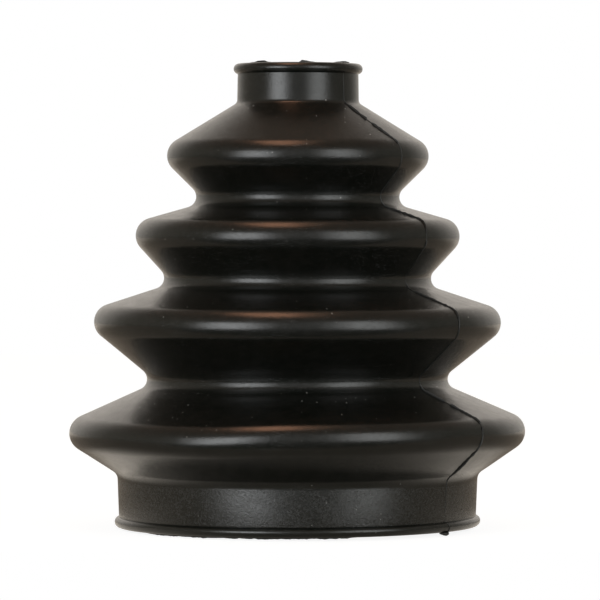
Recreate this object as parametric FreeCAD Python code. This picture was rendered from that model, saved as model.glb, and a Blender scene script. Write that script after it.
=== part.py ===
import FreeCAD, Part
import math
import os
from collections import namedtuple

# Rubber bellows boot for a drive shaft joint, moulded as one piece. All sizes are in millimetres.
# Z is the axis. The large end stands on Z 0, and the small end is at the top.

# Bellows
bellows_wall = 1.65
crest_rounding = 4.15        # outside radius over each crest
valley_rounding = 2.5        # outside radius in each valley

# Each fold's largest and smallest outside radius, and how far it rises above the one below it.
# They are numbered from the large end up.
crest_1_radius = 52.5
crest_1_rise = 10.85
valley_1_radius = 34.65
valley_1_rise = 12.2
crest_2_radius = 46.85
crest_2_rise = 13.1
valley_2_radius = 30.75
valley_2_rise = 10.1
crest_3_radius = 37.3
crest_3_rise = 9.75
valley_3_radius = 23.4
valley_3_rise = 9.0
crest_4_radius = 30.1
crest_4_rise = 9.4

# Large collar, which is clamped round the joint's housing
large_bore_radius = 39.2
large_collar_wall = 2.2      # at the shoulder
large_collar_length = 10.9   # from the end face to the shoulder
large_seat_taper = 0.35      # the band seat is this much smaller at the bead
large_shoulder_rounding = 2.4
large_bead_rounding = 1.2
large_bead_stand_out = 1.0   # beyond the seat

# Small collar, which is clamped round the shaft
small_bore_radius = 11.9
small_collar_wall = 2.1      # at the shoulder
small_collar_length = 8.3    # from the shoulder to the end face
small_shoulder_rise = 12.9   # from the last crest to the shoulder
small_seat_taper = 0.1
small_shoulder_rounding = 1.25
small_bead_rounding = 1.2
small_bead_stand_out = 0.95

# Sealing rib inside each collar, near the collar's inner end
large_rib_width = 2.2
large_rib_height = 0.5
large_rib_setback = 2.2      # from the shoulder to the middle of the rib
small_rib_width = 1.8
small_rib_height = 0.4
small_rib_setback = 1.4
mouth_chamfer = 0.3          # on the inner edge of both end faces

# Parting line: a fine ridge of flash up each side, where the two halves of the mould met
parting_ridge_height = 0.18
parting_ridge_width = 0.4
parting_ridge_root = 0.4     # how deep the ridge is let into the wall
parting_ridge_gap = 0.1      # from the ridge's ends to the end faces
parting_line_turn = -38.0    # degrees about Z from +X

# A bend is one round in the section: its centre, its outside radius, the wall there,
# and its side, which is 1 at a crest and -1 in a valley.
CREST = 1
VALLEY = -1
Bend = namedtuple("Bend", "centre_radius height rounding wall side")

large_seat_radius = large_bore_radius + large_collar_wall
small_seat_radius = small_bore_radius + small_collar_wall


def bellows_bends():
    """Returns the bends from the large shoulder up to the small one, and the small shoulder's height."""
    height = large_collar_length
    bends = [
        Bend(
            large_seat_radius + large_shoulder_rounding,
            height,
            large_shoulder_rounding,
            large_collar_wall,
            VALLEY,
        )
    ]
    folds = [
        (crest_1_radius, crest_1_rise, CREST),
        (valley_1_radius, valley_1_rise, VALLEY),
        (crest_2_radius, crest_2_rise, CREST),
        (valley_2_radius, valley_2_rise, VALLEY),
        (crest_3_radius, crest_3_rise, CREST),
        (valley_3_radius, valley_3_rise, VALLEY),
        (crest_4_radius, crest_4_rise, CREST),
    ]
    for radius, rise, side in folds:
        height += rise
        rounding = crest_rounding if side == CREST else valley_rounding
        bends.append(Bend(radius - side * rounding, height, rounding, bellows_wall, side))
    height += small_shoulder_rise
    bends.append(
        Bend(
            small_seat_radius + small_shoulder_rounding,
            height,
            small_shoulder_rounding,
            small_collar_wall,
            VALLEY,
        )
    )
    return bends, height


bends, small_shoulder_height = bellows_bends()
overall_height = small_shoulder_height + small_collar_length


def grown(bend, extra):
    """Returns the bend with its surface moved outwards by extra."""
    return bend._replace(rounding=bend.rounding + bend.side * extra)


def tangent(low, high):
    """Returns where the straight flank between two bends touches each of them, as (radius, height)."""
    along_radius = high.centre_radius - low.centre_radius
    along_height = high.height - low.height
    distance = math.hypot(along_radius, along_height)
    along = (along_radius / distance, along_height / distance)
    outward = (along[1], -along[0])
    lean = (low.side * low.rounding - high.side * high.rounding) / distance
    square = math.sqrt(1 - lean * lean)
    normal = (
        along[0] * lean + outward[0] * square,
        along[1] * lean + outward[1] * square,
    )
    return [
        (
            bend.centre_radius + bend.side * bend.rounding * normal[0],
            bend.height + bend.side * bend.rounding * normal[1],
        )
        for bend in (low, high)
    ]


def corner(radius, height):
    """Returns a bend with no rounding, so that a flank can start or end at a point."""
    return Bend(radius, height, 0.0, 0.0, CREST)


def flanks_and_bends(chain, plane):
    """Returns the edges from the first bend in the chain to the last, with an arc on each one between."""
    touches = [tangent(low, high) for low, high in zip(chain, chain[1:])]
    edges = [Part.LineSegment(plane(*touches[0][0]), plane(*touches[0][1])).toShape()]
    for bend, below, above in zip(chain[1:-1], touches, touches[1:]):
        start, end = below[1], above[0]
        middle = (
            (start[0] + end[0]) / 2 - bend.centre_radius,
            (start[1] + end[1]) / 2 - bend.height,
        )
        reach = bend.rounding / math.hypot(*middle)
        over = (
            bend.centre_radius + middle[0] * reach,
            bend.height + middle[1] * reach,
        )
        edges.append(Part.Arc(plane(*start), plane(*over), plane(*end)).toShape())
        edges.append(Part.LineSegment(plane(*above[0]), plane(*above[1])).toShape())
    return edges


def bead_arc(seat_radius, rounding, stand_out, tip_height, inward, extra, gap, plane):
    """Returns a rim bead's arc and the corner where it meets the band seat.

    inward is 1 where the part lies above the end face and -1 where it lies below it.
    The arc starts on the end face, or the gap away from it.
    """
    centre_radius = seat_radius + stand_out - rounding
    centre_height = tip_height + inward * rounding
    reach = rounding + extra
    seat = seat_radius + extra
    drop = min(reach, rounding - gap)
    start_radius = centre_radius + math.sqrt(reach**2 - drop**2)
    meets = centre_height + inward * math.sqrt(reach**2 - (seat - centre_radius) ** 2)
    arc = Part.Arc(
        plane(start_radius, centre_height - inward * drop),
        plane(centre_radius + reach, centre_height),
        plane(seat, meets),
    )
    return arc.toShape(), corner(seat, meets)


def outside(extra, gap, plane):
    """Returns the outside of the section from the large end up, moved outwards by extra.

    It starts and ends the gap away from the end faces.
    """
    large_bead, large_corner = bead_arc(
        large_seat_radius - large_seat_taper,
        large_bead_rounding,
        large_bead_stand_out,
        0.0,
        1,
        extra,
        gap,
        plane,
    )
    small_bead, small_corner = bead_arc(
        small_seat_radius - small_seat_taper,
        small_bead_rounding,
        small_bead_stand_out,
        overall_height,
        -1,
        extra,
        gap,
        plane,
    )
    chain = [large_corner] + [grown(bend, extra) for bend in bends] + [small_corner]
    return [large_bead] + flanks_and_bends(chain, plane) + [small_bead]


def ribbed_bore(radius, start, end, rib_middle, rib_width, rib_height, plane):
    """Returns a collar's bore from one height up to another, with its sealing rib."""
    below = plane(radius, rib_middle - rib_width / 2)
    above = plane(radius, rib_middle + rib_width / 2)
    rib = Part.Arc(below, plane(radius - rib_height, rib_middle), above)
    return [
        Part.LineSegment(plane(radius, start), below).toShape(),
        rib.toShape(),
        Part.LineSegment(above, plane(radius, end)).toShape(),
    ]


def inside(plane):
    """Returns the inside of the section from the large mouth up to the small one."""
    wall = [grown(bend, -bend.wall) for bend in bends]
    large_bore = ribbed_bore(
        large_bore_radius,
        mouth_chamfer,
        large_collar_length,
        large_collar_length - large_rib_setback,
        large_rib_width,
        large_rib_height,
        plane,
    )
    small_bore = ribbed_bore(
        small_bore_radius,
        small_shoulder_height,
        overall_height - mouth_chamfer,
        small_shoulder_height + small_rib_setback,
        small_rib_width,
        small_rib_height,
        plane,
    )
    # The first and last flanks end on the bores, where the shoulders' rounds touch them.
    chain = [corner(large_bore_radius, large_collar_length / 2)] + wall
    chain.append(corner(small_bore_radius, small_shoulder_height + small_collar_length / 2))
    bellows = flanks_and_bends(chain, plane)[1:-1]
    return large_bore + bellows + small_bore


def on_yz(radius, height):
    return FreeCAD.Vector(0, radius, height)


def on_xz(radius, height):
    return FreeCAD.Vector(radius, 0, height)


def closed_face(edges, links):
    """Returns the face inside the edges and the straight links that close them."""
    lines = [Part.LineSegment(start, end).toShape() for start, end in links]
    return Part.Face(Part.Wire(Part.__sortEdges__(edges + lines)))


def moulded_body():
    """Returns the boot without its parting line: one section turned about the axis."""
    outer = outside(0.0, 0.0, on_yz)
    inner = inside(on_yz)
    large_rim = large_seat_radius - large_seat_taper + large_bead_stand_out - large_bead_rounding
    small_rim = small_seat_radius - small_seat_taper + small_bead_stand_out - small_bead_rounding
    large_lip = on_yz(large_bore_radius + mouth_chamfer, 0)
    small_lip = on_yz(small_bore_radius + mouth_chamfer, overall_height)
    links = [
        (on_yz(large_rim, 0), large_lip),
        (large_lip, on_yz(large_bore_radius, mouth_chamfer)),
        (on_yz(small_rim, overall_height), small_lip),
        (small_lip, on_yz(small_bore_radius, overall_height - mouth_chamfer)),
    ]
    section = closed_face(outer + inner, links)
    return section.revolve(FreeCAD.Vector(0, 0, 0), FreeCAD.Vector(0, 0, 1), 360)


def parting_ridge(turn):
    """Returns one ridge, from inside the wall to just proud of it, turned to its place."""
    proud = outside(parting_ridge_height, parting_ridge_gap, on_xz)
    root = outside(-parting_ridge_root, parting_ridge_gap, on_xz)
    links = [
        (proud[0].firstVertex().Point, root[0].firstVertex().Point),
        (proud[-1].firstVertex().Point, root[-1].firstVertex().Point),
    ]
    sheet = closed_face(proud + root, links)
    sheet.translate(FreeCAD.Vector(0, -parting_ridge_width / 2, 0))
    ridge = sheet.extrude(FreeCAD.Vector(0, parting_ridge_width, 0))
    ridge.rotate(FreeCAD.Vector(0, 0, 0), FreeCAD.Vector(0, 0, 1), turn)
    return ridge


def boot():
    ridges = [parting_ridge(parting_line_turn), parting_ridge(parting_line_turn + 180)]
    return moulded_body().fuse(ridges).Solids[0]


os.makedirs("parts", exist_ok=True)
shape = boot()
shape.exportStep("parts/boot.step")
print("boot", shape.ShapeType, len(shape.Solids), "solid", shape.isValid(), round(shape.Volume, 1), "mm3")
print("height", round(overall_height, 2), "largest diameter", round(2 * crest_1_radius, 2))
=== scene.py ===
import math
from collections import namedtuple

import bmesh
import bpy
from mathutils import Matrix, Vector, noise


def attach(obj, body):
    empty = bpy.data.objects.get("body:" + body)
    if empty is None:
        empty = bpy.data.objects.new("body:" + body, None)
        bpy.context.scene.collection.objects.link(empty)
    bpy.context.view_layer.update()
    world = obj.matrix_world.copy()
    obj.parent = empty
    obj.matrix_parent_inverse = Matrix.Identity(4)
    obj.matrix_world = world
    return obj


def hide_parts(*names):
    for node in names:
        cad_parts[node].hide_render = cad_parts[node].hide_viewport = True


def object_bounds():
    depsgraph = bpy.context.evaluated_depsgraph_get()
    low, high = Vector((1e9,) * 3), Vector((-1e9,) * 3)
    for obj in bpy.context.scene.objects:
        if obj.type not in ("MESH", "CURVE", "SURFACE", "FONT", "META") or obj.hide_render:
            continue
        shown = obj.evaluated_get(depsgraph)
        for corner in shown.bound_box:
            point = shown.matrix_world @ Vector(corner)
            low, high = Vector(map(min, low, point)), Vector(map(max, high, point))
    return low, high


# Rubber bellows boot on its large end. The pieces are drawn in millimetres and scaled to metres when done.
# Z is the boot's axis, and -Y is its front. Bearings are degrees from the front towards +X.
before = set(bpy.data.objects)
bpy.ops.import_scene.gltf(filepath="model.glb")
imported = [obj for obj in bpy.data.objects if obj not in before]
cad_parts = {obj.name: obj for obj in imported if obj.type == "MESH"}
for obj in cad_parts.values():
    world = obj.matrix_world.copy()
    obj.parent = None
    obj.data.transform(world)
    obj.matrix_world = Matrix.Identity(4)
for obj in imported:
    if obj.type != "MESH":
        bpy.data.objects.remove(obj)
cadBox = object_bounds()
mm = 0.001
overallHeight = cadBox[1][2] / mm
print("frame loaded, height", round(overallHeight, 2), "mm")


# The section
bootForm = {
    "bellowsWall": 1.65,
    "crestRounding": 4.15,
    "valleyRounding": 2.5,
    "folds": [  # outside radius, rise above the one below, and 1 for a crest or -1 for a valley
        (52.5, 10.85, 1),
        (34.65, 12.2, -1),
        (46.85, 13.1, 1),
        (30.75, 10.1, -1),
        (37.3, 9.75, 1),
        (23.4, 9.0, -1),
        (30.1, 9.4, 1),
    ],
    "large": {
        "bore": 39.2,
        "wall": 2.2,
        "length": 10.9,
        "taper": 0.35,
        "shoulder": 2.4,
        "bead": 1.2,
        "standOut": 1.0,
        "rib": (2.2, 0.5, 2.2),  # width, height, and how far inside the shoulder
    },
    "small": {
        "bore": 11.9,
        "wall": 2.1,
        "rise": 12.9,
        "taper": 0.1,
        "shoulder": 1.25,
        "bead": 1.2,
        "standOut": 0.95,
        "rib": (1.8, 0.4, 1.4),
    },
    "mouthChamfer": 0.3,
    "outerStep": 0.62,  # longest edge round the outside of the section
    "innerStep": 1.35,
    "roundStep": math.radians(15),  # largest turn between two edges of a round
    "overrun": 0.01,  # how far the last flank inside runs on past its round
    "weld": 0.002,  # points closer than this become one
}

Bend = namedtuple("Bend", "x z rounding wall side")


def bootBends(form):
    large, small = form["large"], form["small"]
    z = large["length"]
    x = large["bore"] + large["wall"] + large["shoulder"]
    bends = [Bend(x, z, large["shoulder"], large["wall"], -1)]
    for radius, rise, side in form["folds"]:
        z += rise
        rounding = form["crestRounding"] if side > 0 else form["valleyRounding"]
        bends.append(Bend(radius - side * rounding, z, rounding, form["bellowsWall"], side))
    z += small["rise"]
    x = small["bore"] + small["wall"] + small["shoulder"]
    bends.append(Bend(x, z, small["shoulder"], small["wall"], -1))
    return bends


def touchPoints(low, high):
    # Where the straight flank between two bends touches each of them.
    along = Vector((high.x - low.x, high.z - low.z))
    distance = along.length
    along /= distance
    outward = Vector((along.y, -along.x))
    lean = (low.side * low.rounding - high.side * high.rounding) / distance
    normal = along * lean + outward * math.sqrt(1 - lean * lean)
    return [
        Vector((b.x + b.side * b.rounding * normal.x, 0, b.z + b.side * b.rounding * normal.y))
        for b in (low, high)
    ]


def sharpCorner(x, z):
    return Bend(x, z, 0.0, 0.0, 1)


def drawLine(bm, vert, target, step):
    start = vert.co.copy()
    pieces = max(1, math.ceil((target - start).length / step))
    for i in range(pieces):
        vert = bmesh.ops.extrude_vert_indiv(bm, verts=[vert])["verts"][0]
        vert.co = start.lerp(target, (i + 1) / pieces)
    return vert


def drawArc(bm, vert, centre, target, turnSide, step):
    centre = Vector((centre[0], 0, centre[1]))
    a, b = vert.co - centre, target - centre
    angle = a.angle(b)
    pieces = max(2, math.ceil(angle * a.length / step), math.ceil(angle / bootForm["roundStep"]))
    turned = bmesh.ops.spin(
        bm, geom=[vert], cent=centre, axis=(0, 1, 0), angle=turnSide * angle, steps=pieces
    )
    last = [g for g in turned["geom_last"] if isinstance(g, bmesh.types.BMVert)][0]
    last.co = target
    return last


def drawBends(bm, vert, chain, turnSide, step):
    # Draws each flank and round of the chain, and stops at its far end.
    touches = []
    for near, far in zip(chain, chain[1:]):
        if near.z < far.z:
            touches.append(touchPoints(near, far))
        else:
            touches.append(touchPoints(far, near)[::-1])
    for bend, before, after in zip(chain[1:-1], touches, touches[1:]):
        vert = drawLine(bm, vert, before[1], step)
        vert = drawArc(bm, vert, (bend.x, bend.z), after[0], turnSide * bend.side, step)
    return drawLine(bm, vert, touches[-1][1], step)


bends = bootBends(bootForm)


def beadPlaces(end):
    # The rim bead's centre, its start on the end face and where it meets the band seat.
    form = bootForm[end]
    seat = form["bore"] + form["wall"] - form["taper"]
    x = seat + form["standOut"] - form["bead"]
    rise = form["bead"] + math.sqrt(form["bead"] ** 2 - (seat - x) ** 2)
    if end == "large":
        return (x, form["bead"]), Vector((x, 0, 0)), Vector((seat, 0, rise))
    top = overallHeight
    return (x, top - form["bead"]), Vector((x, 0, top)), Vector((seat, 0, top - rise))


def drawOutside(bm, step):
    # Draws the outside of the section from the large end face up to the small one.
    centre, start, seat = beadPlaces("large")
    vert = bmesh.ops.create_vert(bm, co=start)["vert"][0]
    vert = drawArc(bm, vert, centre, seat, -1, step)
    centre, end, smallSeat = beadPlaces("small")
    chain = [sharpCorner(seat.x, seat.z)] + bends + [sharpCorner(smallSeat.x, smallSeat.z)]
    vert = drawBends(bm, vert, chain, -1, step)
    return drawArc(bm, vert, centre, end, -1, step)


def drawRib(bm, vert, end, middle, step):
    # Draws the sealing rib in a bore, from its upper edge down.
    form = bootForm[end]
    width, height, _ = form["rib"]
    half = width / 2
    radius = (half**2 + height**2) / (2 * height)
    vert = drawLine(bm, vert, Vector((form["bore"], 0, middle + half)), step)
    centre = (form["bore"] - height + radius, middle)
    return drawArc(bm, vert, centre, Vector((form["bore"], 0, middle - half)), -1, step)


def drawInside(bm, vert, step):
    # Draws the rest of the section, from the small end face down to the large one.
    large, small, chamfer = bootForm["large"], bootForm["small"], bootForm["mouthChamfer"]
    vert = drawLine(bm, vert, Vector((small["bore"] + chamfer, 0, overallHeight)), step)
    vert = drawLine(bm, vert, Vector((small["bore"], 0, overallHeight - chamfer)), step)
    vert = drawRib(bm, vert, "small", bends[-1].z + small["rib"][2], step)
    inner = [b._replace(rounding=b.rounding - b.side * b.wall) for b in bends]
    # Both corners lie on the straight bores, so that the shoulders' rounds run on into them.
    top = sharpCorner(small["bore"], bends[-1].z + small["rib"][0])
    foot = sharpCorner(large["bore"], large["length"] / 2)
    vert = drawLine(bm, vert, touchPoints(inner[-1], top)[0], step)
    touches = touchPoints(foot, inner[0])
    chain = [top] + inner[::-1] + [sharpCorner(touches[1].x, touches[1].z - bootForm["overrun"])]
    vert = drawBends(bm, vert, chain, 1, step)
    vert = drawRib(bm, vert, "large", large["length"] - large["rib"][2], step)
    vert = drawLine(bm, vert, Vector((large["bore"], 0, chamfer)), step)
    vert = drawLine(bm, vert, Vector((large["bore"] + chamfer, 0, 0)), step)
    return drawLine(bm, vert, beadPlaces("large")[1], step)


# How the real moulding has gone out of true. Every piece on it follows.
settling = {
    "lean": 0.0045,  # rise for each millimetre towards +X, at the lowest fold and below
    "leanTop": 42.0,  # the height where the lean has faded out
    "leanFull": 24.0,
    "rimLift": (0.08, 0.12, 0.13),  # the large rim's mean rise, and what it gains towards +X and the front
    "rimLiftTop": 9.5,
    "oval": 1.2,  # how far the large collar bulges at one bearing and is pressed in a quarter turn on
    "ovalBearing": 45.0,
    "ovalFade": (13.0, 20.0),
    "heave": 0.76,  # rise of the lowest fold, to the right of its front
    "heaveBearings": (-28.0, 0.0, 38.0, 82.0),
    "heaveHeights": [(11.5, 0.0), (21.75, 1.0), (34.0, 0.3), (44.0, 0.0)],
    "drift": 0.0024,  # lean of the axis towards +X, for each millimetre up
    "waveDepth": 0.035,
    "waveLength": 12.0,
}


def smoothStep(value, start, end):
    t = min(1.0, max(0.0, (value - start) / (end - start)))
    return t * t * (3 - 2 * t)


def curveAt(points, value):
    # Reads a smooth line through a few (place, value) pairs.
    if value <= points[0][0]:
        return points[0][1]
    for (a, low), (b, high) in zip(points, points[1:]):
        if value <= b:
            return low + (high - low) * smoothStep(value, a, b)
    return points[-1][1]


def bearingOf(co):
    return math.degrees(math.atan2(co.x, -co.y))


def settled(co):
    away = Vector((co.x, co.y, 0)).normalized()
    bearing = bearingOf(co)
    low = 1 - smoothStep(co.z, settling["leanFull"], settling["leanTop"])
    rise = co.x * (settling["lean"] * low - settling["drift"] * (1 - low))
    mean, right, front = settling["rimLift"]
    rim = 1 - smoothStep(co.z, 0.0, settling["rimLiftTop"])
    rise += (mean + right * away.x - front * away.y) * rim
    start, full, fading, end = settling["heaveBearings"]
    heave = smoothStep(bearing, start, full) * (1 - smoothStep(bearing, fading, end))
    rise += settling["heave"] * heave * curveAt(settling["heaveHeights"], co.z)
    out = noise.noise(co / settling["waveLength"]) * settling["waveDepth"]
    oval = 1 - smoothStep(co.z, *settling["ovalFade"])
    out += settling["oval"] * oval * math.cos(2 * math.radians(bearing - settling["ovalBearing"]))
    drift = settling["drift"] * co.z
    return Vector((co.x + away.x * out + drift, co.y + away.y * out, co.z + rise))


def addObject(name, data):
    made = bpy.data.objects.new(name, data)
    bpy.context.scene.collection.objects.link(made)
    return made


def finishPiece(bm, name, material, smoothAngle):
    for v in bm.verts:
        v.co = settled(v.co)
    bmesh.ops.recalc_face_normals(bm, faces=bm.faces)
    bmesh.ops.scale(bm, vec=(mm, mm, mm), verts=bm.verts)
    mesh = bpy.data.meshes.new(name)
    bm.to_mesh(mesh)
    bm.free()
    mesh.shade_smooth()
    mesh.set_sharp_from_angle(angle=math.radians(smoothAngle))
    mesh.materials.append(material)
    piece = addObject(name, mesh)
    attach(piece, "root")
    print(name, len(mesh.polygons), "faces")
    return piece


# Node helpers
def addNode(tree, kind, settings=None, inputs=None):
    made = tree.nodes.new(kind)
    for key, value in (settings or {}).items():
        setattr(made, key, value)
    for key, value in (inputs or {}).items():
        if isinstance(value, bpy.types.NodeSocket):
            tree.links.new(value, made.inputs[key])
        else:
            made.inputs[key].default_value = value
    return made


def addMath(tree, operation, a, b=0.0, c=0.0):
    return addNode(tree, "ShaderNodeMath", {"operation": operation}, {0: a, 1: b, 2: c}).outputs[0]


def addMix(tree, factor, a, b):
    mix = addNode(tree, "ShaderNodeMix", {"data_type": "RGBA"}, {0: factor, 6: a, 7: b})
    return mix.outputs[2]


def addRange(tree, value, fromMin, fromMax, toMin=0.0, toMax=1.0):
    settings = {"interpolation_type": "SMOOTHSTEP"}
    inputs = {"Value": value, "From Min": fromMin, "From Max": fromMax, "To Min": toMin, "To Max": toMax}
    return addNode(tree, "ShaderNodeMapRange", settings, inputs).outputs[0]


def cameraSwitch(tree, others, seen, output):
    # The camera sees one shader, and everything else the other.
    path = addNode(tree, "ShaderNodeLightPath")
    inputs = {0: path.outputs["Is Camera Ray"], 1: others.outputs[0], 2: seen.outputs[0]}
    mix = addNode(tree, "ShaderNodeMixShader", None, inputs)
    result = addNode(tree, output)
    tree.links.new(mix.outputs[0], result.inputs["Surface"])


def newGroup(name, inputs, outputs):
    group = bpy.data.node_groups.new(name, "ShaderNodeTree")
    for label, kind, value in inputs:
        socket = group.interface.new_socket(name=label, in_out="INPUT", socket_type=kind)
        if value is not None:
            socket.default_value = value
    for label, kind in outputs:
        group.interface.new_socket(name=label, in_out="OUTPUT", socket_type=kind)
    return group, group.nodes.new("NodeGroupInput"), group.nodes.new("NodeGroupOutput")


def useGroup(tree, group, inputs):
    return addNode(tree, "ShaderNodeGroup", {"node_tree": group}, inputs).outputs


def perMillimetre(tree, vector, size):
    # Scales a place in metres so that one unit is the given size in millimetres.
    factor = addMath(tree, "DIVIDE", 1 / mm, size)
    scaled = addNode(tree, "ShaderNodeVectorMath", {"operation": "SCALE"}, {0: vector, "Scale": factor})
    return scaled.outputs[0]


def buildGrainGroup():
    group, given, result = newGroup(
        "mouldGrain",
        [
            ("Vector", "NodeSocketVector", None),
            ("Size", "NodeSocketFloat", 0.5),
            ("Depth", "NodeSocketFloat", 0.01),
            ("Mask", "NodeSocketFloat", 1.0),
        ],
        [("Height", "NodeSocketFloat"), ("Tone", "NodeSocketFloat")],
    )
    place = perMillimetre(group, given.outputs["Vector"], given.outputs["Size"])
    cloud = addNode(group, "ShaderNodeTexNoise", None, {"Vector": place, "Scale": 1.0, "Detail": 2.0})
    centred = addMath(group, "SUBTRACT", cloud.outputs[0], 0.5)
    deep = addMath(group, "MULTIPLY", centred, given.outputs["Depth"])
    masked = addMath(group, "MULTIPLY", deep, given.outputs["Mask"])
    group.links.new(masked, result.inputs["Height"])
    group.links.new(cloud.outputs[0], result.inputs["Tone"])
    return group


def buildPitGroup():
    group, given, result = newGroup(
        "mouldPits",
        [
            ("Vector", "NodeSocketVector", None),
            ("Size", "NodeSocketFloat", 0.4),
            ("Depth", "NodeSocketFloat", 0.05),
            ("Spread", "NodeSocketFloat", 1.0),
            ("Mask", "NodeSocketFloat", 1.0),
        ],
        [("Height", "NodeSocketFloat"), ("Tone", "NodeSocketFloat")],
    )
    place = perMillimetre(group, given.outputs["Vector"], given.outputs["Size"])
    cells = addNode(group, "ShaderNodeTexVoronoi", None, {"Vector": place, "Scale": 1.0})
    deep = addMath(group, "MULTIPLY", cells.outputs["Distance"], given.outputs["Depth"])
    chance = addNode(group, "ShaderNodeSeparateColor", None, {0: cells.outputs["Color"]})
    # With a high spread only a few of the pits are deep.
    share = addMath(group, "POWER", chance.outputs[1], given.outputs["Spread"])
    masked = addMath(group, "MULTIPLY", addMath(group, "MULTIPLY", deep, share), given.outputs["Mask"])
    tone = addMath(group, "MULTIPLY", chance.outputs[0], given.outputs["Mask"])
    group.links.new(masked, result.inputs["Height"])
    group.links.new(tone, result.inputs["Tone"])
    return group


dustForm = {
    "rarity": 3.0,  # the higher, the fewer of the specks are large
    "patches": (0.35, 0.65, 0.45, 1.0),  # range of the cloud, and the size of the specks at its ends
    "edge": 0.07,
}


def buildDustGroup():
    group, given, result = newGroup(
        "dustSpecks",
        [
            ("Vector", "NodeSocketVector", None),
            ("Spacing", "NodeSocketFloat", 4.0),
            ("Size", "NodeSocketFloat", 0.2),
            ("Patch", "NodeSocketFloat", 20.0),
            ("Slope", "NodeSocketFloat", 1.0),
        ],
        [("Mask", "NodeSocketFloat")],
    )
    place = perMillimetre(group, given.outputs["Vector"], given.outputs["Spacing"])
    cells = addNode(group, "ShaderNodeTexVoronoi", None, {"Vector": place, "Scale": 1.0})
    away = addMath(group, "MULTIPLY", cells.outputs["Distance"], given.outputs["Spacing"])
    chance = addNode(group, "ShaderNodeSeparateColor", None, {0: cells.outputs["Color"]})
    rarity = addMath(group, "POWER", chance.outputs[0], dustForm["rarity"])
    size = addMath(group, "MULTIPLY", given.outputs["Size"], rarity)
    wide = perMillimetre(group, given.outputs["Vector"], given.outputs["Patch"])
    cloud = addNode(group, "ShaderNodeTexNoise", None, {"Vector": wide, "Scale": 1.0, "Detail": 1.0})
    size = addMath(group, "MULTIPLY", size, addRange(group, cloud.outputs[0], *dustForm["patches"]))
    reach = addMath(group, "MULTIPLY", size, given.outputs["Slope"])
    inside = addMath(group, "SUBTRACT", reach, away)
    mask = addRange(group, inside, 0.0, dustForm["edge"])
    group.links.new(mask, result.inputs["Mask"])
    return group


def buildBandGroup():
    group, given, result = newGroup(
        "heightBand",
        [
            ("Vector", "NodeSocketVector", None),
            ("Low", "NodeSocketFloat", 0.0),
            ("High", "NodeSocketFloat", 1.0),
            ("Soft", "NodeSocketFloat", 0.3),
        ],
        [("Mask", "NodeSocketFloat")],
    )
    place = addNode(group, "ShaderNodeSeparateXYZ", None, {0: given.outputs["Vector"]})
    height = addMath(group, "MULTIPLY", place.outputs[2], 1 / mm)
    aboveLow = addMath(group, "SUBTRACT", height, given.outputs["Low"])
    belowHigh = addMath(group, "SUBTRACT", given.outputs["High"], height)
    nearest = addMath(group, "MINIMUM", aboveLow, belowHigh)
    share = addMath(group, "DIVIDE", nearest, given.outputs["Soft"])
    mask = addRange(group, share, 0.0, 1.0)
    group.links.new(mask, result.inputs["Mask"])
    return group


grainGroup = buildGrainGroup()
pitGroup = buildPitGroup()
dustGroup = buildDustGroup()
bandGroup = buildBandGroup()

rubberLook = {
    "colour": (0.0031, 0.0038, 0.0028, 1),
    "hazeColour": (0.0052, 0.0054, 0.0042, 1),
    "dustColour": (0.42, 0.41, 0.39, 1),
    "roughness": (0.21, 0.25),
    "seatRoughness": 0.16,
    "pitRoughness": 0.18,
    "pitColour": (0.013, 0.0135, 0.0125, 1),
    "ior": 1.5,
    "seatBand": (2.5, 10.9, 0.25),  # heights of the large collar's spark-eroded seat, and its soft edge
    "seatPits": (0.3, 0.031, 1.0),  # size, depth and spread
    "satinPits": (0.32, 0.036, 3.0),
    "mottleGrain": (2.6, 0.012),
    "hazeRange": (0.35, 0.75),  # of the mottling
    "roughRange": (0.3, 0.7),
    "paleRange": (0.5, 1.0),  # of the seat's pits
    "dustSpacing": 1.1,
    "dustSize": 0.2,
    "dustPatch": 17.0,
    "dustSlope": (-0.8, 0.6, 0.55, 0.88),  # from facing down to facing up, and the specks' size there
    "dustRoughness": 0.5,
}

flashLook = {
    "grain": (0.3, 0.03),  # size and depth
    "roughRange": (0.3, 0.7),
    "roughness": (0.4, 0.55),
}


def newRubber(name):
    material = bpy.data.materials.new(name)
    material.use_nodes = True
    tree = material.node_tree
    return material, tree, addNode(tree, "ShaderNodeTexCoord").outputs["Object"]


def coatRubber(tree, colour, roughness, height):
    shader = tree.nodes["Principled BSDF"]
    tree.links.new(colour, shader.inputs["Base Color"])
    tree.links.new(roughness, shader.inputs["Roughness"])
    bump = addNode(tree, "ShaderNodeBump", None, {"Height": height, "Distance": mm})
    tree.links.new(bump.outputs[0], shader.inputs["Normal"])
    shader.inputs["IOR"].default_value = rubberLook["ior"]


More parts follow.
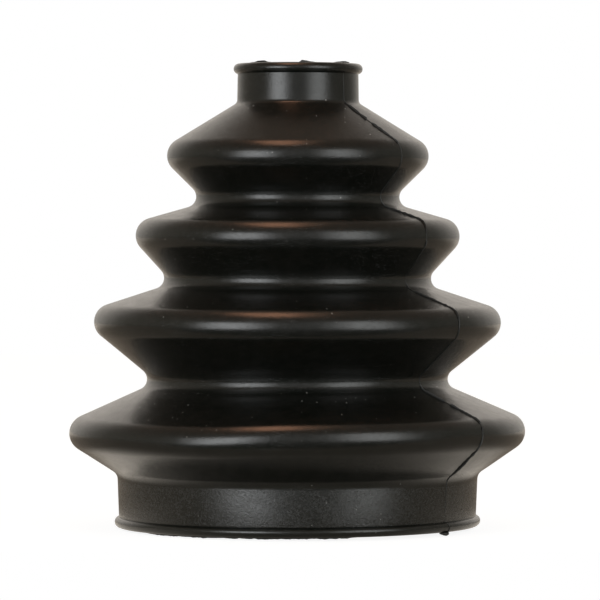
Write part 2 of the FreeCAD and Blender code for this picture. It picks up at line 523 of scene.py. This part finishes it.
def rubberMaterial():
    material, tree, place = newRubber("mouldedRubber")
    normal = addNode(tree, "ShaderNodeNewGeometry").outputs["Normal"]
    look = rubberLook
    low, high, soft = look["seatBand"]
    seat = useGroup(tree, bandGroup, {"Vector": place, "Low": low, "High": high, "Soft": soft})["Mask"]
    size, depth, spread = look["seatPits"]
    pits = {"Vector": place, "Size": size, "Depth": depth, "Spread": spread, "Mask": seat}
    seatPits = useGroup(tree, pitGroup, pits)
    size, depth, spread = look["satinPits"]
    satin = useGroup(tree, pitGroup, {"Vector": place, "Size": size, "Depth": depth, "Spread": spread})
    size, depth = look["mottleGrain"]
    mottle = useGroup(tree, grainGroup, {"Vector": place, "Size": size, "Depth": depth})
    height = addMath(tree, "ADD", seatPits["Height"], satin["Height"])
    height = addMath(tree, "ADD", height, mottle["Height"])
    up = addNode(tree, "ShaderNodeSeparateXYZ", None, {0: normal}).outputs[2]
    specks = {
        "Vector": place,
        "Spacing": look["dustSpacing"],
        "Size": look["dustSize"],
        "Patch": look["dustPatch"],
        "Slope": addRange(tree, up, *look["dustSlope"]),
    }
    dust = useGroup(tree, dustGroup, specks)["Mask"]
    haze = addRange(tree, mottle["Tone"], *look["hazeRange"])
    colour = addMix(tree, haze, look["colour"], look["hazeColour"])
    pale = addRange(tree, seatPits["Tone"], *look["paleRange"])
    colour = addMix(tree, pale, colour, look["pitColour"])
    colour = addMix(tree, dust, colour, look["dustColour"])
    smooth, rough = look["roughness"]
    roughness = addRange(tree, mottle["Tone"], *look["roughRange"], smooth, rough)
    extra = addMath(tree, "MULTIPLY", seat, look["seatRoughness"] - rough)
    roughness = addMath(tree, "ADD", roughness, extra)
    roughness = addMath(tree, "MULTIPLY_ADD", seatPits["Tone"], look["pitRoughness"], roughness)
    roughness = addMath(tree, "MULTIPLY_ADD", dust, look["dustRoughness"], roughness)
    coatRubber(tree, colour, roughness, height)
    return material


def flashMaterial():
    material, tree, place = newRubber("tornFlash")
    size, depth = flashLook["grain"]
    torn = useGroup(tree, grainGroup, {"Vector": place, "Size": size, "Depth": depth})
    colour = addMix(tree, torn["Tone"], rubberLook["colour"], rubberLook["hazeColour"])
    roughness = addRange(tree, torn["Tone"], *flashLook["roughRange"], *flashLook["roughness"])
    coatRubber(tree, colour, roughness, torn["Height"])
    return material


rubber = rubberMaterial()
flashRubber = flashMaterial()
print("materials ready")


# The parting line, where the two halves of the mould met
partingLine = {
    "bearing": [  # height, bearing from the front
        (0.0, 52.5),
        (4.0, 51.8),
        (11.0, 52.0),
        (17.0, 51.6),
        (30.0, 53.0),
        (47.0, 50.5),
        (57.0, 52.6),
        (67.0, 51.0),
        (74.0, 53.6),
        (86.0, 51.2),
        (97.0, 48.3),
        (106.5, 47.5),
    ],
    "swellHeight": 0.03,  # the skin stands up a little along the line
    "swellReach": 1.3,
    "leastSwell": 0.001,
    "finHeights": [  # height up the boot, and how far the fin of flash stands out there
        (0.0, 0.18),
        (3.0, 0.09),
        (9.5, 0.1),
        (12.0, 0.22),
        (15.5, 0.34),
        (19.5, 0.26),
        (22.0, 0.2),
        (25.0, 0.38),
        (31.0, 0.34),
        (34.0, 0.14),
        (43.0, 0.17),
        (47.0, 0.22),
        (50.0, 0.36),
        (55.0, 0.3),
        (57.0, 0.06),
        (63.0, 0.12),
        (67.0, 0.28),
        (71.0, 0.38),
        (74.0, 0.26),
        (76.0, 0.14),
        (82.0, 0.15),
        (85.5, 0.2),
        (88.0, 0.36),
        (96.0, 0.42),
        (98.5, 0.1),
        (106.5, 0.07),
    ],
    "ragged": (0.8, 0.45),  # length of the tears along the fin, and their share of its height
    "trimmed": (3.4, 0.32, 0.35),  # length of the trimmed patches, their rarity, and what is left there
    "leastFin": 0.03,
    "step": 0.3,
    "root": 0.3,  # how deep the fin starts in the skin
    "levels": [(-1.0, 0.09), (0.0, 0.085), (0.55, 0.06), (1.0, 0.03)],  # share of height, half thickness
    "fineSector": 18.0,  # degrees of finer skin round each line
    "fineHeight": 50.0,  # the height whose bearing the finer skin follows
    "smoothAngle": 60,
}


def bearingTurn(bearing):
    # The turn about Z that brings +X to a bearing.
    return math.radians(bearing - 90)


def partingBearing(z):
    return curveAt(partingLine["bearing"], z)


def finHeight(z, run, seed):
    height = curveAt(partingLine["finHeights"], z)
    length, depth = partingLine["ragged"]
    height *= 1 + depth * noise.noise(Vector((run / length, seed, 0.3)))
    length, rarity, left = partingLine["trimmed"]
    if noise.noise(Vector((run / length, seed, 7.7))) > rarity:
        height *= left
    return max(height, partingLine["leastFin"])


def chainInOrder(bm):
    # The points of an open chain of edges, from its lower end.
    ends = [v for v in bm.verts if len(v.link_edges) == 1]
    vert = min(ends, key=lambda v: v.co.z)
    chain, edge = [vert], vert.link_edges[0]
    while True:
        vert = edge.other_vert(vert)
        chain.append(vert)
        onward = [e for e in vert.link_edges if e != edge]
        if not onward:
            return chain
        edge = onward[0]


def extrudeEdges(bm, edges):
    # Extrudes the edges, and returns the new points and the new edges between them.
    grown = bmesh.ops.extrude_edge_only(bm, edges=edges)["geom"]
    verts = [g for g in grown if isinstance(g, bmesh.types.BMVert)]
    new = set(verts)
    links = [g for g in grown if isinstance(g, bmesh.types.BMEdge)]
    return verts, [e for e in links if e.verts[0] in new and e.verts[1] in new]


def buildPartingFin(name, turnedBy, seed):
    bm = bmesh.new()
    base = bm.verts.layers.float_vector.new("base")
    outward = bm.verts.layers.float_vector.new("outward")
    level = bm.verts.layers.int.new("level")
    side = bm.verts.layers.int.new("side")
    run = bm.verts.layers.float.new("run")
    drawOutside(bm, partingLine["step"])
    chain = chainInOrder(bm)
    travelled = 0.0
    for i, vert in enumerate(chain):
        before, after = chain[max(i - 1, 0)].co, chain[min(i + 1, len(chain) - 1)].co
        along = (after - before).normalized()
        if i:
            travelled += (vert.co - chain[i - 1].co).length
        vert[base] = vert.co
        vert[outward] = Vector((along.z, 0, -along.x))
        vert[run] = travelled
    edges = bm.edges[:]
    for i in range(1, len(partingLine["levels"])):
        grown, edges = extrudeEdges(bm, edges)
        for v in grown:
            v[level] = i
    # Both sides of the fin start as one sheet, which the half thicknesses open up.
    grown = bmesh.ops.extrude_face_region(bm, geom=bm.faces[:])["geom"]
    for g in grown:
        if isinstance(g, bmesh.types.BMVert):
            g[side] = 1
    for v in bm.verts:
        share, half = partingLine["levels"][v[level]]
        z = v[base].z
        reach = share * (partingLine["root"] if share < 0 else finHeight(z, v[run], seed))
        co = v[base] + v[outward] * reach
        co.y = half if v[side] else -half
        turn = bearingTurn(partingBearing(z) + turnedBy)
        v.co = Matrix.Rotation(turn, 3, "Z") @ co
    return finishPiece(bm, name, flashRubber, partingLine["smoothAngle"])


def swellAlongLine(bm, outside):
    # Raises the skin a little along both parting lines.
    bm.normal_update()
    moves = []
    for v in bm.verts:
        if not v[outside]:
            continue
        away = abs((bearingOf(v.co) - partingBearing(v.co.z) + 90) % 180 - 90)
        distance = math.radians(away) * math.hypot(v.co.x, v.co.y)
        swell = partingLine["swellHeight"] * math.exp(-((distance / partingLine["swellReach"]) ** 2))
        if swell > partingLine["leastSwell"]:
            moves.append((v, v.normal * swell))
    for v, move in moves:
        v.co += move


skinSpin = {
    "fineSteps": 36,  # round each parting line
    "coarseSteps": 72,  # from one line's sector to the other's
    "quickCoarseSteps": 40,
    "smoothAngle": 28,
}


def buildMoulding():
    bm = bmesh.new()
    outside = bm.verts.layers.int.new("outside")
    last = drawOutside(bm, bootForm["outerStep"])
    for v in bm.verts:
        v[outside] = 1
    outer = set(bm.verts)
    drawInside(bm, last, bootForm["innerStep"])
    for v in bm.verts:
        if v not in outer:
            v[outside] = 0
    bmesh.ops.remove_doubles(bm, verts=bm.verts, dist=bootForm["weld"])
    print("section", len(bm.verts), "points")
    fine = math.radians(partingLine["fineSector"])
    start = bearingTurn(partingBearing(partingLine["fineHeight"])) - fine / 2
    bmesh.ops.rotate(bm, cent=(0, 0, 0), matrix=Matrix.Rotation(start, 3, "Z"), verts=bm.verts)
    ring = bm.verts[:] + bm.edges[:]
    coarseSteps = skinSpin["coarseSteps"]
    for angle, steps in [(fine, skinSpin["fineSteps"]), (math.pi - fine, coarseSteps)] * 2:
        turned = bmesh.ops.spin(bm, geom=ring, cent=(0, 0, 0), axis=(0, 0, 1), angle=angle, steps=steps)
        ring = turned["geom_last"]
    bmesh.ops.remove_doubles(bm, verts=bm.verts, dist=bootForm["weld"])
    bmesh.ops.recalc_face_normals(bm, faces=bm.faces)
    swellAlongLine(bm, outside)
    return finishPiece(bm, "bootMoulding", rubber, skinSpin["smoothAngle"])


moulding = buildMoulding()
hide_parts("boot")
buildPartingFin("partingFlashRight", 0.0, 3.1)
buildPartingFin("partingFlashLeft", 180.0, 8.4)


# Flash left on the rims
burrSmoothAngle = 50


def spinBurr(name, section, startBearing, endBearing, stepLength, shapeTip):
    # Spins a small section from one bearing to the other. Its first two points are the tip,
    # and shapeTip says how far they rise at each share of the way.
    bm = bmesh.new()
    tip = bm.verts.layers.int.new("tip")
    verts = [bmesh.ops.create_vert(bm, co=(x, 0, z))["vert"][0] for x, z in section]
    bmesh.ops.contextual_create(bm, geom=verts)
    for v in verts[:2]:
        v[tip] = 1
    radius = section[0][0]
    angle = math.radians(endBearing - startBearing)
    steps = math.ceil(angle * radius / stepLength)
    turn = Matrix.Rotation(bearingTurn(startBearing), 3, "Z")
    bmesh.ops.rotate(bm, cent=(0, 0, 0), matrix=turn, verts=bm.verts)
    whole = bm.verts[:] + bm.edges[:] + bm.faces[:]
    bmesh.ops.spin(bm, geom=whole, cent=(0, 0, 0), axis=(0, 0, 1), angle=angle, steps=steps)
    for v in bm.verts:
        if v[tip]:
            share = (bearingOf(v.co) - startBearing) / (endBearing - startBearing)
            v.co.z += shapeTip(min(1.0, max(0.0, share)))
    return finishPiece(bm, name, flashRubber, burrSmoothAngle)


topBurrs = {
    "radius": 12.35,
    "thickness": 0.3,
    "tipStart": 0.05,  # how far the tip starts from the inner side
    "tipEnd": 0.65,  # where it ends, as a share of the thickness
    "root": 0.2,  # how deep the burrs start in the rim
    "step": 0.22,
    "humps": [  # first bearing, last bearing, and (share of the way, height) pairs
        (-68, -27, [(0, 0.02), (0.35, 0.16), (0.55, 0.42), (0.72, 0.46), (0.86, 0.12), (1, 0.02)]),
        (1, 20, [(0, 0.1), (0.18, 0.5), (0.3, 0.42), (0.7, 0.16), (1, 0.02)]),
        (38, 72, [(0, 0.03), (0.3, 0.28), (0.5, 0.42), (0.62, 0.44), (0.85, 0.3), (1, 0.03)]),
    ],
}


def buildTopBurrs():
    inner = topBurrs["radius"]
    outer = inner + topBurrs["thickness"]
    tip = (inner + topBurrs["tipStart"], inner + topBurrs["thickness"] * topBurrs["tipEnd"])
    top, foot = overallHeight, overallHeight - topBurrs["root"]
    section = [(tip[0], top), (tip[1], top), (outer, foot), (inner, foot)]
    for i, (first, last, heights) in enumerate(topBurrs["humps"]):
        name = "topBurr%d" % (i + 1)
        spinBurr(name, section, first, last, topBurrs["step"], lambda share: curveAt(heights, share))


buildTopBurrs()

rimFlash = {
    "radius": 40.6,
    "thickness": 0.26,
    "tipInsets": (0.08, 0.06),  # how much the edge that hangs is set in, inside and outside
    "root": 0.3,
    "step": 0.25,
    "first": -60.0,
    "last": 19.0,
    "hang": 0.22,
    "leastHang": 0.03,
    "rag": 0.16,
    "ragLengths": (1.6, 0.55),
    "fineRag": 0.6,  # share of the finer raggedness
    "fade": (0.1, 0.93),  # where it is at its full depth, as shares of the way
}


def buildRimFlash():
    inner, outer = rimFlash["radius"], rimFlash["radius"] + rimFlash["thickness"]
    insets, root = rimFlash["tipInsets"], rimFlash["root"]
    section = [(inner + insets[0], 0.0), (outer - insets[1], 0.0), (outer, root), (inner, root)]
    coarse, fine = rimFlash["ragLengths"]
    whole, fading = rimFlash["fade"]
    arcLength = math.radians(rimFlash["last"] - rimFlash["first"]) * inner

    def hang(share):
        run = share * arcLength
        rag = noise.noise(Vector((run / coarse, 2.2, 0.0)))
        rag += rimFlash["fineRag"] * noise.noise(Vector((run / fine, 5.5, 0.0)))
        fade = smoothStep(share, 0, whole) * (1 - smoothStep(share, fading, 1))
        return -max(rimFlash["leastHang"], rimFlash["hang"] + rimFlash["rag"] * rag) * fade

    spinBurr("rimFlash", section, rimFlash["first"], rimFlash["last"], rimFlash["step"], hang)


buildRimFlash()

rimTag = {
    "bearing": 52.4,
    "radius": 41.3,
    "sides": 10,
    "flatness": 0.8,  # its thickness as a share of its width
    "rounding": 0.6,
    "smoothAngle": 60,
    "route": [  # across, outwards and up from the rim at the parting line, and the half width there
        (0.0, -0.3, 0.5, 0.22),
        (0.02, 0.06, 0.12, 0.28),
        (-0.06, 0.22, -0.14, 0.42),
        (-0.34, 0.24, -0.26, 0.52),
        (-0.72, 0.06, -0.28, 0.52),
        (-1.06, -0.22, -0.22, 0.44),
        (-1.38, -0.5, -0.16, 0.32),
        (-1.66, -0.8, -0.1, 0.14),
    ],
}


def buildRimTag():
    # A curl of torn flash: a ring drawn along a short route.
    bm = bmesh.new()
    ring = bmesh.ops.create_circle(bm, cap_ends=True, radius=1.0, segments=rimTag["sides"])["verts"]
    edges = bm.edges[:]
    route = [Vector(p[:3]) for p in rimTag["route"]]
    previous = Matrix.Identity(4)
    for i, point in enumerate(route):
        before, after = route[max(i - 1, 0)], route[min(i + 1, len(route) - 1)]
        facing = (after - before).to_track_quat("Z", "Y").to_matrix().to_4x4()
        half = rimTag["route"][i][3]
        sizes = Matrix.Diagonal((half, half * rimTag["flatness"], half, 1))
        placing = Matrix.Translation(point) @ facing @ sizes
        if i:
            ring, edges = extrudeEdges(bm, edges)
        bmesh.ops.transform(bm, matrix=placing @ previous.inverted(), verts=ring)
        previous = placing
    bmesh.ops.contextual_create(bm, geom=edges)
    rounding = rimTag["rounding"]
    bmesh.ops.subdivide_edges(bm, edges=bm.edges[:], cuts=1, smooth=rounding, use_grid_fill=True)
    # Across, outwards and up become X, -Y and Z at the front, and then turn to the tag's bearing.
    for v in bm.verts:
        v.co = Vector((v.co.x, -rimTag["radius"] - v.co.y, v.co.z))
    turn = Matrix.Rotation(math.radians(rimTag["bearing"]), 3, "Z")
    bmesh.ops.rotate(bm, cent=(0, 0, 0), matrix=turn, verts=bm.verts)
    return finishPiece(bm, "rimTag", flashRubber, rimTag["smoothAngle"])


buildRimTag()
print("flash built")


# Camera, floor and light
camera = {
    "away": 1.0,
    "height": 0.07274,
    "pitch": -1.181,  # degrees from level
    "yaw": -0.04,
    "lens": 260.4,
    "sensor": 36,
    "clipEnd": 20,
}


def placeCamera():
    data = bpy.data.cameras.new("camera")
    data.lens = camera["lens"]
    data.sensor_width = camera["sensor"]
    data.clip_end = camera["clipEnd"]
    eye = addObject("camera", data)
    eye.location = (0, -camera["away"], camera["height"])
    eye.rotation_euler = (math.radians(90 + camera["pitch"]), 0, math.radians(camera["yaw"]))
    bpy.context.scene.camera = eye


floorLook = {
    "height": -0.0005,
    "left": -0.6,
    "right": 0.6,
    "front": -0.07,  # the card ends just before the boot, so the lamps shine in under it
    "back": 1.2,
    "card": (0.66, 0.61, 0.54, 1),
    "footGlow": 1.15,  # how the card shines round the sides and back of the boot's foot
    "footReach": (0.048, 0.08),  # distances from the axis
    "footFront": (-0.05, -0.005),
    "farGlow": 0.9,  # and far behind the boot
    "farReach": (0.12, 0.5),
    "plain": 0.9,  # how bright the camera sees the card, apart from its shadow
    "lit": (0.3, 0.3, 0.3, 1),
}


def buildFloor():
    look = floorLook
    bm = bmesh.new()
    corners = [
        (look["left"], look["front"]),
        (look["right"], look["front"]),
        (look["right"], look["back"]),
        (look["left"], look["back"]),
    ]
    verts = [bmesh.ops.create_vert(bm, co=(x, y, look["height"]))["vert"][0] for x, y in corners]
    bmesh.ops.contextual_create(bm, geom=verts)
    mesh = bpy.data.meshes.new("floor")
    bm.to_mesh(mesh)
    bm.free()
    material = bpy.data.materials.new("paleCard")
    material.use_nodes = True
    tree = material.node_tree
    tree.nodes.clear()
    matt = addNode(tree, "ShaderNodeBsdfDiffuse", None, {"Color": look["lit"]})
    white = addNode(tree, "ShaderNodeEmission", None, {"Strength": look["plain"]})
    both = addNode(tree, "ShaderNodeAddShader", None, {0: matt.outputs[0], 1: white.outputs[0]})
    pale = addNode(tree, "ShaderNodeBsdfDiffuse", None, {"Color": look["card"]})
    place = addNode(tree, "ShaderNodeTexCoord").outputs["Object"]
    depth = addNode(tree, "ShaderNodeSeparateXYZ", None, {0: place}).outputs[1]
    distance = addNode(tree, "ShaderNodeVectorMath", {"operation": "LENGTH"}, {0: place}).outputs["Value"]
    nearby = addRange(tree, distance, *look["footReach"], look["footGlow"], 0.0)
    foot = addMath(tree, "MULTIPLY", nearby, addRange(tree, depth, *look["footFront"]))
    shine = addMath(tree, "ADD", foot, addRange(tree, depth, *look["farReach"], 0.0, look["farGlow"]))
    glow = addNode(tree, "ShaderNodeEmission", None, {"Color": look["card"], "Strength": shine})
    card = addNode(tree, "ShaderNodeAddShader", None, {0: pale.outputs[0], 1: glow.outputs[0]})
    cameraSwitch(tree, card, both, "ShaderNodeOutputMaterial")
    mesh.materials.append(material)
    addObject("floor", mesh)


softboxes = {
    "leftBox": {
        "bearing": -37.5,
        "away": 1.0,
        "width": 0.9,
        "low": -17,
        "high": 26,
        "power": 12.3,
        "colour": (0.95, 0.98, 1.0),
        "core": (0.12, 0.6),
    },
    "rightBox": {
        "bearing": 38.5,
        "away": 1.0,
        "width": 0.95,
        "low": -18,
        "high": 35,
        "power": 9.6,
        "colour": (0.97, 1.0, 1.0),
        "core": (0.12, 0.6),
    },
}

ceilingLamps = {
    "ceilingLamp": {
        "place": (-0.18, -0.23, 1.05),
        "size": (0.58, 0.98),
        "power": 7.7,
        "colour": (1.0, 0.5, 0.3),
        "core": (0.3, 0.3),
    },
    "ceilingGlow": {
        "place": (-0.1, -0.14, 1.05),
        "size": (0.56, 0.62),
        "power": 1.25,
        "colour": (1.0, 0.6, 0.38),
        "core": (0.9, 0.9),
    },
}


def fadeLamp(data, core):
    # A lamp at full strength within its core, a share of its size, that fades to nothing at its edges.
    data.use_nodes = True
    tree = data.node_tree
    spot = addNode(tree, "ShaderNodeNewGeometry").outputs["Parametric"]
    part = addNode(tree, "ShaderNodeSeparateXYZ", None, {0: spot})
    fade = 1.0
    for i, share in enumerate(core):
        away = addMath(tree, "ABSOLUTE", addMath(tree, "SUBTRACT", part.outputs[i], 0.5))
        fade = addMath(tree, "MULTIPLY", addRange(tree, away, share / 2, 0.5, 1.0, 0.0), fade)
    tree.links.new(fade, tree.nodes["Emission"].inputs["Strength"])


def addLamp(name, place, size, power, colour, aim, core):
    data = bpy.data.lights.new(name, "AREA")
    data.shape = "RECTANGLE"
    data.size, data.size_y = size
    data.energy = power
    data.color = colour
    fadeLamp(data, core)
    lamp = addObject(name, data)
    lamp.location = place
    lamp.rotation_euler = aim.to_track_quat("Z", "Y").to_euler()
    lamp.visible_camera = False
    return lamp


def addLamps():
    middle = Vector((0, 0, overallHeight * mm / 2))
    for name, box in softboxes.items():
        low = math.tan(math.radians(box["low"])) * box["away"]
        high = math.tan(math.radians(box["high"])) * box["away"]
        bearing = math.radians(box["bearing"])
        way = Vector((math.sin(bearing), -math.cos(bearing), 0))
        place = middle + way * box["away"] + Vector((0, 0, (low + high) / 2))
        addLamp(name, place, (box["width"], high - low), box["power"], box["colour"], way, box["core"])
    up = Vector((0, 0, 1))
    for name, lamp in ceilingLamps.items():
        place = middle + Vector(lamp["place"])
        ceiling = addLamp(name, place, lamp["size"], lamp["power"], lamp["colour"], up, lamp["core"])
        ceiling.visible_diffuse = False  # it shows in the boot, and leaves the card untinted


# Strength and tint of the room in each direction, which only the boot and the card see
roomLight = {
    "front": (0.52, 0.51, 0.48, 1),
    "left": (0.4, 0.37, 0.31, 1),
    "right": (0.32, 0.305, 0.26, 1),
    "high": (0.28, 0.225, 0.18, 1),
    "back": (1.02, 0.94, 0.85, 1),
    "backDim": (0.78, 0.73, 0.66, 1),  # near the horizon
    "low": (0.115, 0.11, 0.1, 1),
}

# How far a direction points to each side where that side's tint starts, and where it is full
roomSpans = {
    "left": (-0.4, -0.95),
    "right": (0.4, 0.95),
    "high": (0.3, 0.8),
    "back": (0.4, 0.95),
    "backTop": (0.85, 0.5),
    "backBright": (0.0, 0.35),
    "low": (0.1, -0.45),
}


def lightRoom():
    world = bpy.data.worlds.new("studio")
    world.use_nodes = True
    tree = world.node_tree
    tree.nodes.clear()
    way = addNode(tree, "ShaderNodeTexCoord").outputs["Generated"]
    part = addNode(tree, "ShaderNodeSeparateXYZ", None, {0: way})
    right, back, up = part.outputs
    tints, spans = roomLight, roomSpans
    colour = addMix(tree, addRange(tree, right, *spans["left"]), tints["front"], tints["left"])
    colour = addMix(tree, addRange(tree, right, *spans["right"]), colour, tints["right"])
    colour = addMix(tree, addRange(tree, up, *spans["high"]), colour, tints["high"])
    wall = addMix(tree, addRange(tree, up, *spans["backBright"]), tints["backDim"], tints["back"])
    behind = addRange(tree, back, *spans["back"])
    share = addMath(tree, "MULTIPLY", behind, addRange(tree, up, *spans["backTop"]))
    colour = addMix(tree, share, colour, wall)
    colour = addMix(tree, addRange(tree, up, *spans["low"]), colour, tints["low"])
    soft = addNode(tree, "ShaderNodeBackground", None, {"Color": colour, "Strength": 1.0})
    white = addNode(tree, "ShaderNodeBackground", None, {"Color": (1, 1, 1, 1), "Strength": 1.0})
    cameraSwitch(tree, soft, white, "ShaderNodeOutputWorld")
    bpy.context.scene.world = world


placeCamera()
buildFloor()
addLamps()
lightRoom()
bpy.context.scene.view_settings.view_transform = "Standard"
print("stage set")
